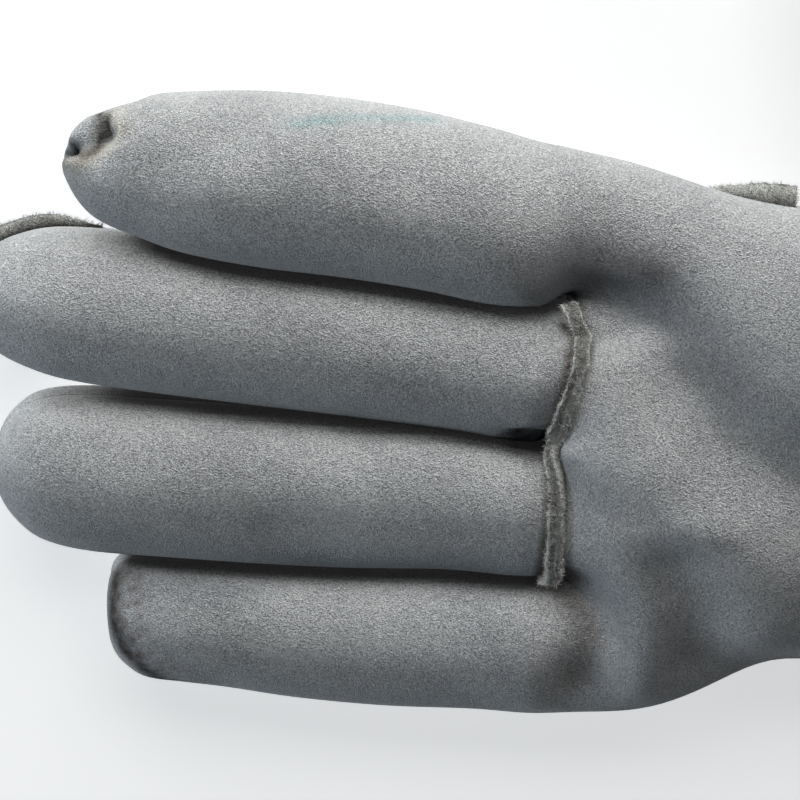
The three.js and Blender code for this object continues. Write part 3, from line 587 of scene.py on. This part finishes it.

# Painted shade in folds, hollows and gaps, and a few marks on the leather: lines beside the skin,
# their width, the share that they leave of the leather's own colour (above 1 where it is lighter), and how
# patchy they are
MARKS = [
    # A dark brown rim round the little fingertip, with a patchy brown fade inwards
    {"line": [[-124.4, -22.6, 19.0], [-125.2, -28.5, 17.5], [-125.0, -33.0, 18.8], [-124.3, -37.2, 20.3],
              [-123.0, -41.1, 20.4], [-120.6, -44.2, 20.0], [-117.9, -46.7, 19.0], [-113.0, -48.8, 16.5]],
     "width": 2.2, "colour": (0.07, 0.055, 0.05), "patchy": 0.2},
    {"line": [[-123.0, -29.0, 21.0], [-122.4, -37.0, 22.4], [-119.0, -43.0, 22.0], [-113.0, -47.0, 19.5]],
     "width": 3.6, "colour": (0.56, 0.50, 0.46), "patchy": 1.2},
    # Painted shade along the little finger's upper side, below the ring finger
    {"line": [[-121.0, -27.0, 21.0], [-106.0, -27.3, 23.5], [-91.0, -27.5, 24.5], [-74.0, -28.0, 25.0],
              [-56.0, -28.5, 25.0]], "width": 4.0, "colour": (0.66, 0.68, 0.70), "patchy": 0.1},
    # Painted shade in the heel's long valley, slightly brown, deepest in its upper part
    {"line": [[-44.6, -27.0, 20.0], [-43.0, -30.0, 21.0], [-41.0, -35.5, 24.5], [-42.0, -41.0, 25.0],
              [-43.8, -46.0, 24.0]], "width": 3.6, "colour": (0.66, 0.635, 0.62), "patchy": 0.2},
    {"line": [[-44.6, -27.0, 20.0], [-43.0, -30.5, 21.0], [-41.0, -35.5, 24.5]], "width": 3.6,
     "colour": (0.62, 0.60, 0.59), "patchy": 0.2},
    # Painted shade in the pit below the index finger's foot
    {"line": [[-41.0, 27.5, 22.0], [-36.5, 29.0, 27.0], [-32.5, 32.5, 30.0]], "width": 4.6,
     "colour": (0.48, 0.47, 0.47), "patchy": 0.1},
    # Painted shade in the hollow of the heel
    {"line": [[-25.6, -25.0, 31.0], [-24.0, -31.0, 30.0], [-23.5, -37.0, 28.5]], "width": 4.5,
     "colour": (0.78, 0.77, 0.76), "patchy": 0.2},
    # Painted shade in the hollow of the index fingertip's pucker
    {"line": [[-123.6, 58.0, 21.8], [-122.2, 57.8, 22.4], [-122.0, 56.8, 23.0], [-122.9, 55.8, 23.8],
              [-123.9, 55.2, 24.2]], "width": 1.1, "colour": (0.06, 0.06, 0.055), "patchy": 0.1},
    # Painted shade in the groove on either side of the base welt, deepest on the fingers' side
    {"line": foot_on_skin[6:] + [-2.2, 0, 0], "width": 1.5, "colour": (0.13, 0.10, 0.085), "patchy": 0.3},
    {"line": foot_on_skin + [1.7, 0, 0], "width": 0.9, "colour": (0.16, 0.145, 0.135), "patchy": 0.4},
    {"line": [[-93.1, 59.2, 27.5], [-82.0, 59.0, 25.0], [-70.7, 58.0, 21.8]], "width": 1.0,
     "colour": (0.55, 0.84, 0.84), "patchy": 0.7},
    # Painted shade in the slit at the index fingertip
    {"line": [[-130.5, 53.0, 23.5], [-127.0, 54.8, 27.0], [-125.2, 55.8, 27.6], [-124.8, 57.0, 26.2],
              [-124.6, 58.4, 24.6]], "width": 1.5, "colour": (0.22, 0.20, 0.18), "patchy": 0.1},
    # Lighter and yellower along the rolled lip round the index fingertip
    {"line": [[-129.0, 50.5, 26.6], [-126.0, 52.6, 27.0], [-122.6, 55.0, 27.6], [-120.6, 58.4, 27.4],
              [-121.3, 60.4, 23.0]], "width": 1.7, "colour": (1.28, 1.20, 1.04), "patchy": 0.3},
    # Painted shade in the cleft between the middle and ring fingers, black where it is deepest
    {"line": [[-54, 2.0, 24.0], [-47.5, 1.0, 22.0]], "width": 2.2,
     "colour": (0.10, 0.09, 0.09), "patchy": 0.1},
    {"line": [[-55.0, 0.5, 22.0], [-52.9, -0.5, 20.9], [-49.4, -1.8, 20.1]], "width": 2.4,
     "colour": (0.05, 0.045, 0.045), "patchy": 0.1},
    # Painted shade along the palm's diagonal valley below the index finger's foot
    {"line": [[-31.5, 25.0, 29.0], [-26.4, 19.8, 30.0], [-21.0, 14.5, 31.0]], "width": 5.0,
     "colour": (0.80, 0.79, 0.79), "patchy": 0.1},
    # Painted shade in the dent at the base welt's lower end
    {"line": [[-45.5, -25.0, 25.0], [-43.0, -27.5, 26.0]], "width": 2.8,
     "colour": (0.34, 0.29, 0.26), "patchy": 0.2}]
PATCHES_TO_MM = 0.8
FAINTEST = 0.01


def paint_mark(line, width, colour, patchy):
    """Paints shade or a mark on the skin along a line, after each of the line's points is moved onto the
    skin.
    """
    line = [skin[np.argmin(np.linalg.norm(skin - p, axis=1))] for p in line]
    cover = np.exp(-(from_line(skin, line) / width) ** 2)
    near = np.flatnonzero(cover > FAINTEST)
    cover[near] *= [1 - patchy * (0.5 + noise.noise(Vector(skin[k]) * PATCHES_TO_MM)) for k in near]
    painted_shade_and_marks[:] *= 1 - cover[:, None] * (1 - np.array(colour))


for mark in MARKS:
    paint_mark(**mark)

# The inner side of the leather is painted this share as bright as the outer side, as shade inside
# the glove, and edges with a sharper turn than this angle stay crisp
INNER_PAINTED_SHADE = 0.7
SHARP_ANGLE = math.radians(60)


def panel_shell(name):
    """One leather panel from the net: the outer skin, the same a wall further in, and cut edges."""
    number = PANELS.index(name)
    own = [face for face, panel in zip(faces, face_panel) if panel == number]
    directed = {(a, b) for face in own for a, b in zip(face, face[1:] + face[:1])}
    border = [(a, b) for a, b in directed if (b, a) not in directed]
    inwards = {v: Vector() for edge in border for v in edge}
    for a, b in border:
        step = Vector(skin[b] - skin[a]).normalized()
        for v in (a, b):
            inwards[v] += Vector(outward[v]).cross(step)
    used = sorted({v for face in own for v in face})
    place = {v: k for k, v in enumerate(used)}
    outer = skin[used].copy()
    for v, pull in inwards.items():
        outer[place[v]] += np.array(pull.normalized()) * SEAM_GAP / 2
    inner = outer - outward[used] * WALL
    count = len(used)
    loops = [[place[v] for v in face] for face in own]
    loops += [[v + count for v in reversed(loop)] for loop in loops]
    loops += [[place[b], place[a], place[a] + count, place[b] + count] for a, b in sorted(border)]
    # The inner side is painted darker, as shade inside the glove
    return np.concatenate([outer, inner]), loops, np.concatenate([painted_shade_and_marks[used], painted_shade_and_marks[used] * INNER_PAINTED_SHADE])


def make_piece(name, points, loops, shade, material):
    mesh = bpy.data.meshes.new(name)
    mesh.from_pydata((np.asarray(points) * MM).tolist(), [], loops)
    # Painted shade, marks and wear are kept at each point as a colour that multiplies the leather's
    painted = mesh.attributes.new("painted_shade_and_marks", "FLOAT_COLOR", "POINT")
    painted.data.foreach_set("color", np.concatenate([shade, np.ones((len(shade), 1))], axis=1).ravel())
    mesh.validate()
    mesh.shade_smooth()
    mesh.set_sharp_from_angle(angle=SHARP_ANGLE)
    mesh.materials.append(material)
    piece = bpy.data.objects.new(name, mesh)
    bpy.context.scene.collection.objects.link(piece)
    return piece


# The nap lies combed to one side. Its patterns, coarse to fine: size, detail, roughness, wander
NAP_COMBED = {"heading": math.radians(-38), "along": 1.25, "across": 0.8}
NAP_PATTERNS = [(70, 3, 0.55, 0.0), (750, 3, 0.6, 0.6), (3000, 1, 0.5, 0.8), (4700, 0, 0.5, 0.4)]
# How much each pattern counts in the colour, and each but the coarsest in the relief
COLOUR_SHARES = [0.15, 0.1, 0.4, 0.35]
RELIEF_SHARES = [0.25, 0.4, 0.35]
DARK_AT, LIGHT_AT = 0.39, 0.61
PILE = {"roughness": 0.95, "shine": 0.15, "sheen": 0.35, "sheen_roughness": 0.55,
        "sheen_colour": (0.85, 0.88, 0.9), "height": 0.0011}


def suede(name, light, dark, grain=1.0):
    """Napped split leather: a short matt pile that takes the light at its edges."""
    material = bpy.data.materials.new(name)
    material.use_nodes = True
    tree = material.node_tree
    shader = tree.nodes["Principled BSDF"]
    shader.inputs["Roughness"].default_value = PILE["roughness"]
    shader.inputs["Specular IOR Level"].default_value = PILE["shine"]
    shader.inputs["Sheen Weight"].default_value = PILE["sheen"]
    shader.inputs["Sheen Roughness"].default_value = PILE["sheen_roughness"]
    place = tree.nodes.new("ShaderNodeTexCoord").outputs["Object"]

    combed = tree.nodes.new("ShaderNodeMapping")
    combed.vector_type = "TEXTURE"
    combed.inputs["Rotation"].default_value = (0, 0, NAP_COMBED["heading"])
    combed.inputs["Scale"].default_value = (NAP_COMBED["along"], NAP_COMBED["across"], NAP_COMBED["across"])
    tree.links.new(place, combed.inputs["Vector"])

    def noise_node(scale, detail, rough, wander):
        node = tree.nodes.new("ShaderNodeTexNoise")
        node.inputs["Scale"].default_value = scale
        node.inputs["Detail"].default_value = detail
        node.inputs["Roughness"].default_value = rough
        node.inputs["Distortion"].default_value = wander
        tree.links.new(combed.outputs["Vector"], node.inputs["Vector"])
        return node.outputs["Fac"]

    def math_node(operation, a, b):
        node = tree.nodes.new("ShaderNodeMath")
        node.operation = operation
        for socket, value in zip(node.inputs, (a, b)):
            if isinstance(value, (int, float)):
                socket.default_value = value
            else:
                tree.links.new(value, socket)
        return node.outputs["Value"]

    def blend_of(parts):
        total = 0.0
        for value, weight in parts:
            total = math_node("ADD", math_node("MULTIPLY", value, weight), total)
        return total

    patterns = [noise_node(*pattern) for pattern in NAP_PATTERNS]
    ramp = tree.nodes.new("ShaderNodeValToRGB")
    ramp.color_ramp.elements[0].position = DARK_AT
    ramp.color_ramp.elements[0].color = (*dark, 1)
    ramp.color_ramp.elements[1].position = LIGHT_AT
    ramp.color_ramp.elements[1].color = (*light, 1)
    tree.links.new(blend_of(zip(patterns, COLOUR_SHARES)), ramp.inputs["Fac"])
    # The painted shade and marks darken both the nap's colour and its sheen
    painted = tree.nodes.new("ShaderNodeAttribute")
    painted.attribute_name = "painted_shade_and_marks"
    dye = tree.nodes.new("ShaderNodeVectorMath")
    dye.operation = "MULTIPLY"
    tree.links.new(ramp.outputs["Color"], dye.inputs[0])
    tree.links.new(painted.outputs["Color"], dye.inputs[1])
    tree.links.new(dye.outputs["Vector"], shader.inputs["Base Color"])
    pile = tree.nodes.new("ShaderNodeVectorMath")
    pile.operation = "MULTIPLY"
    pile.inputs[1].default_value = PILE["sheen_colour"]
    tree.links.new(painted.outputs["Color"], pile.inputs[0])
    tree.links.new(pile.outputs["Vector"], shader.inputs["Sheen Tint"])
    bump = tree.nodes.new("ShaderNodeBump")
    bump.inputs["Strength"].default_value = min(grain, 1.0)
    bump.inputs["Distance"].default_value = PILE["height"] * grain
    tree.links.new(blend_of(zip(patterns[1:], RELIEF_SHARES)), bump.inputs["Height"])
    tree.links.new(bump.outputs["Normal"], shader.inputs["Normal"])
    return material


grey_suede = suede("grey_suede", light=(0.53, 0.545, 0.55), dark=(0.165, 0.173, 0.182))


def sewn_panel(name):
    piece = make_piece(name, *panel_shell(name), grey_suede)
    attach(piece, "root")
    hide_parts(name)


sewn_panel("palm_panel")

# Finger panel: the fronts of the middle and ring fingers, cut from the same split leather as one
# piece and sewn to the palm at their foot, with the base welt caught in the seam.
sewn_panel("finger_panel")

# Back panel: one piece of the same leather for the back of the hand and the backs of the four
# fingers, sewn to the fronts round the sides. The glove lies on it, so it is flattened below.
sewn_panel("back_panel")

# Thumb: a front and a back of the same leather, sewn together along both sides and set into the
# opening in the side of the hand.
sewn_panel("thumb_front")
sewn_panel("thumb_back")

# Cuff: a plain flared band of the same leather, sewn to the hand at the wrist and open at its
# end, without a hem.
sewn_panel("cuff")

# Base welt: the raw strip sewn into the seam at the foot of the middle and ring fingers. It
# stands up from the seam, a few millimetres wide, with a torn and fuzzy edge.
WELT_STEP = 0.25
EVEN_OVER = 9
# How a strip is torn: steps of the coarse and the fine unevenness along it and from corner to
# corner, the fine one's share, the height from which corners are torn, and the share below it
TORN = {"coarse": (0.07, 3.7), "fine": (0.33, 1.9), "fine_share": 0.9, "height": 0.8, "below": 0.2}
# How a strip is shaded and worn: brightness deep in the seam, as painted shade, then on top and at the
# outer corners, and where it is torn up, lighter partly from wear and partly as painted highlight
WELT_SHADE_AND_WEAR = {"seam": 0.2, "from": 0.6, "over": 1.5, "top": 0.5, "corner": 1.5, "sharp": 4, "torn": 0.5}


def seam_line(points):
    """Points and outward directions along a seam, evenly spaced."""
    picks = [net_tree.find(p)[1] for p in points]
    picks = [k for k, before in zip(picks, [None] + picks) if k != before]
    line, out = skin[picks], outward[picks]
    run = np.concatenate([[0], np.cumsum(np.linalg.norm(np.diff(line, axis=0), axis=1))])
    at = np.linspace(0, run[-1], max(int(run[-1] / WELT_STEP), 2))
    kernel = np.hanning(EVEN_OVER) / np.hanning(EVEN_OVER).sum()
    beyond = EVEN_OVER // 2

    def even(values):
        values = np.stack([np.interp(at, run, values[:, c]) for c in range(3)], -1)
        padded = np.concatenate([values[:1]] * beyond + [values] + [values[-1:]] * beyond)
        return np.stack([np.convolve(padded[:, c], kernel, "valid") for c in range(3)], -1)

    out = even(out)
    return even(line), out / np.linalg.norm(out, axis=1)[:, None]


def unevenness(k, corner, seed):
    """How far a corner of a strip is torn sideways and upwards at one place along it."""
    (step, apart), (fine_step, fine_apart) = TORN["coarse"], TORN["fine"]
    return [noise.noise(Vector((k * step, apart * corner + seed, layer))) + TORN["fine_share"] * noise.noise(
        Vector((k * fine_step, fine_apart * corner + seed, layer + 9))) for layer in (0, 5)]


def welt_shell(line, out, section, rise, ragged, seed):
    """A section of [sideways, height] carried along a seam, with ragged upper corners."""
    forward = np.gradient(line, axis=0)
    forward /= np.linalg.norm(forward, axis=1)[:, None]
    up = out - forward * (out * forward).sum(1)[:, None]
    up /= np.linalg.norm(up, axis=1)[:, None]
    aside = np.cross(forward, up)
    section = np.array(section, float)
    torn = np.where(section[:, 1] > TORN["height"], ragged, ragged * TORN["below"])[:, None]
    sideways = np.abs(section[:, 0]) / np.abs(section[:, 0]).max()
    lit_and_rubbed = WELT_SHADE_AND_WEAR["top"] + WELT_SHADE_AND_WEAR["corner"] * sideways ** WELT_SHADE_AND_WEAR["sharp"]
    count = len(section)
    rows, shades = [], []
    for k, (p, a, u) in enumerate(zip(line, aside, up)):
        height = section[:, 1] * np.where(section[:, 1] > 0, rise(k / (len(line) - 1)), 1)
        rough = np.array([unevenness(k, corner, seed) for corner in range(count)]) * torn
        rows.append(p + np.outer(section[:, 0] + rough[:, 0], a) + np.outer(height + rough[:, 1], u))
        # Painted shade deep in the seam, fading with height; lighter corners and torn places are wear and
        # painted highlight
        shade_and_wear = WELT_SHADE_AND_WEAR["seam"] + ease((height - WELT_SHADE_AND_WEAR["from"]) / WELT_SHADE_AND_WEAR["over"]) * lit_and_rubbed
        shade_and_wear = shade_and_wear + WELT_SHADE_AND_WEAR["torn"] * np.maximum(rough[:, 1], 0) / ragged
        shades.append(np.repeat(shade_and_wear[:, None], 3, axis=1))
    loops = []
    for first in range(0, (len(rows) - 1) * count, count):
        for c in range(count):
            after = (c + 1) % count
            loops.append([first + c, first + count + c, first + count + after, first + after])
    loops += [list(range(count)), [(len(rows) - 1) * count + c for c in range(count)][::-1]]
    return np.concatenate(rows), loops, np.concatenate(shades)


raw_edge = suede("raw_edge", light=(0.34, 0.345, 0.32), dark=(0.045, 0.047, 0.042), grain=1.5)

# Loose fibres on the cut edges: how many to a square metre, length, thickness, lean in radians,
# and the shares of that length that the shortest and the longest have
FIBRES = {"density": 9.0e6, "length": 0.0010, "thickness": 0.00005, "lean": 1.0,
          "shortest": 0.35, "longest": 1.2}


def fibre_node(tree, kind, values=None, **settings):
    node = tree.nodes.new(kind)
    for key, value in settings.items():
        setattr(node, key, value)
    for key, value in (values or {}).items():
        node.inputs[key].default_value = value
    return node


def add_fibres(piece, seed):
    """Scatters short fibres over a piece and joins them to its mesh."""
    tree = bpy.data.node_groups.new(piece.name + "_fibres", "GeometryNodeTree")
    tree.interface.new_socket("Geometry", in_out="INPUT", socket_type="NodeSocketGeometry")
    sizes = {
        key: tree.interface.new_socket(key, in_out="INPUT", socket_type="NodeSocketFloat") for key in FIBRES}
    tree.interface.new_socket("Geometry", in_out="OUTPUT", socket_type="NodeSocketGeometry")
    given, made = tree.nodes.new("NodeGroupInput"), tree.nodes.new("NodeGroupOutput")
    scatter = fibre_node(tree, "GeometryNodeDistributePointsOnFaces", {"Seed": seed})
    hair = fibre_node(tree, "GeometryNodeMeshCone", {"Vertices": 3, "Radius Top": 0.0})
    lean = fibre_node(tree, "FunctionNodeRandomValue", data_type="FLOAT_VECTOR")
    size = fibre_node(tree, "FunctionNodeRandomValue", {"Seed": seed}, data_type="FLOAT")
    least = fibre_node(tree, "ShaderNodeMath", {1: -1.0}, operation="MULTIPLY")
    turned = tree.nodes.new("FunctionNodeRotateRotation")
    place = tree.nodes.new("GeometryNodeInstanceOnPoints")
    solid = tree.nodes.new("GeometryNodeRealizeInstances")
    finish = fibre_node(tree, "GeometryNodeSetMaterial", {"Material": raw_edge})
    both = tree.nodes.new("GeometryNodeJoinGeometry")
    for start, end in (
            (given.outputs["Geometry"], scatter.inputs["Mesh"]),
            (given.outputs["density"], scatter.inputs["Density"]),
            (given.outputs["length"], hair.inputs["Depth"]),
            (given.outputs["thickness"], hair.inputs["Radius Bottom"]),
            (given.outputs["lean"], least.inputs[0]),
            (least.outputs["Value"], lean.inputs["Min"]),
            (given.outputs["lean"], lean.inputs["Max"]),
            (scatter.outputs["Points"], place.inputs["Points"]),
            (scatter.outputs["Rotation"], turned.inputs["Rotation"]),
            (lean.outputs["Value"], turned.inputs["Rotate By"]),
            (turned.outputs["Rotation"], place.inputs["Rotation"]),
            (given.outputs["shortest"], size.inputs[2]),
            (given.outputs["longest"], size.inputs[3]),
            (size.outputs[1], place.inputs["Scale"]),
            (hair.outputs["Mesh"], place.inputs["Instance"]),
            (place.outputs["Instances"], both.inputs["Geometry"]),
            (given.outputs["Geometry"], both.inputs["Geometry"]),
            (both.outputs["Geometry"], solid.inputs["Geometry"]),
            (solid.outputs["Geometry"], finish.inputs["Geometry"]),
            (finish.outputs["Geometry"], made.inputs["Geometry"])):
        tree.links.new(start, end)
    modifier = piece.modifiers.new("fibres", "NODES")
    modifier.node_group = tree
    for key, socket in sizes.items():
        modifier[socket.identifier] = FIBRES[key]
    mesh = bpy.data.meshes.new_from_object(piece.evaluated_get(bpy.context.evaluated_depsgraph_get()))
    piece.modifiers.clear()
    piece.data = mesh


def sewn_welt(name, points, section, rise, ragged, seed):
    piece = make_piece(name, *welt_shell(*seam_line(points), section, rise, ragged, seed), raw_edge)
    add_fibres(piece, seed)
    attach(piece, "root")
    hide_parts(name)


BASE_WELT = [
    [-0.9, -0.6], [0.9, -0.6], [1.1, 0.6], [1.35, 1.6], [1.4, 2.3], [0.9, 2.5], [0.35, 2.0], [-0.2, 2.2],
    [-0.8, 2.6], [-1.3, 2.3], [-1.3, 1.4], [-1.1, 0.5]]
# It stops a little short of the seam's ends, and comes down to half its height at the lower one
BASE_WELT_RISE = {"start": 1, "end": 0.5, "from": 11 / 12, "to": 1}


def rise_along(start, end, **stretch):
    """A strip's height at each share of its length: from one height to another over a stretch."""
    return lambda t: mix(start, end, ease((t - stretch["from"]) / (stretch["to"] - stretch["from"])))


sewn_welt("base_welt", foot_line[3:-2], BASE_WELT, rise_along(**BASE_WELT_RISE), ragged=0.36, seed=1)

# Finger welt: a narrow raw strip of the same leather in the side seam of the middle finger that
# faces the index finger, near its tip. It is caught between the finger panel and the back panel
# and comes down towards the palm.
FINGER_WELT = [
    [-0.5, -0.6], [0.5, -0.6], [0.6, 0.8], [0.55, 2.6], [0.2, 2.9], [-0.3, 2.8], [-0.6, 2.4], [-0.6, 0.8]]
FINGER_WELT_RISE = {"start": 1, "end": 0.3, "from": 0.6, "to": 1}
FINGER_WELT_ROWS = {"from": 11, "to": 7}
SEAM_POINTS = 60
rows_from_tip = np.linspace(FINGER_WELT_ROWS["from"], FINGER_WELT_ROWS["to"], SEAM_POINTS)
tip_line = knuckle_point(1, finger_row_x(1, 1.0, rows_from_tip), np.zeros(SEAM_POINTS), 1)
sewn_welt("finger_welt", tip_line, FINGER_WELT, rise_along(**FINGER_WELT_RISE), ragged=0.25, seed=2)

# Side welt: the same kind of strip in the side seam between the index knuckle and the thumb. It
# is caught between the palm panel and the back panel and rises out of the seam.
SIDE_WELT = [
    [-0.7, -0.6], [0.7, -0.6], [0.8, 1.0], [0.8, 3.6], [0.3, 4.1], [-0.3, 3.9], [-0.8, 3.5], [-0.8, 1.0]]
SIDE_WELT_RISE = {"start": 0.2, "end": 1, "from": 0, "to": 10 / 13}
SIDE_WELT_ROWS = {"from": 3, "to": 6}
rows_from_knuckle = np.linspace(SIDE_WELT_ROWS["from"], SIDE_WELT_ROWS["to"], SEAM_POINTS)
side_line = knuckle_point(0, hand_row_x(0.0, rows_from_knuckle), np.zeros(SEAM_POINTS), 1)
sewn_welt("side_welt", side_line, SIDE_WELT, rise_along(**SIDE_WELT_RISE), ragged=0.3, seed=3)
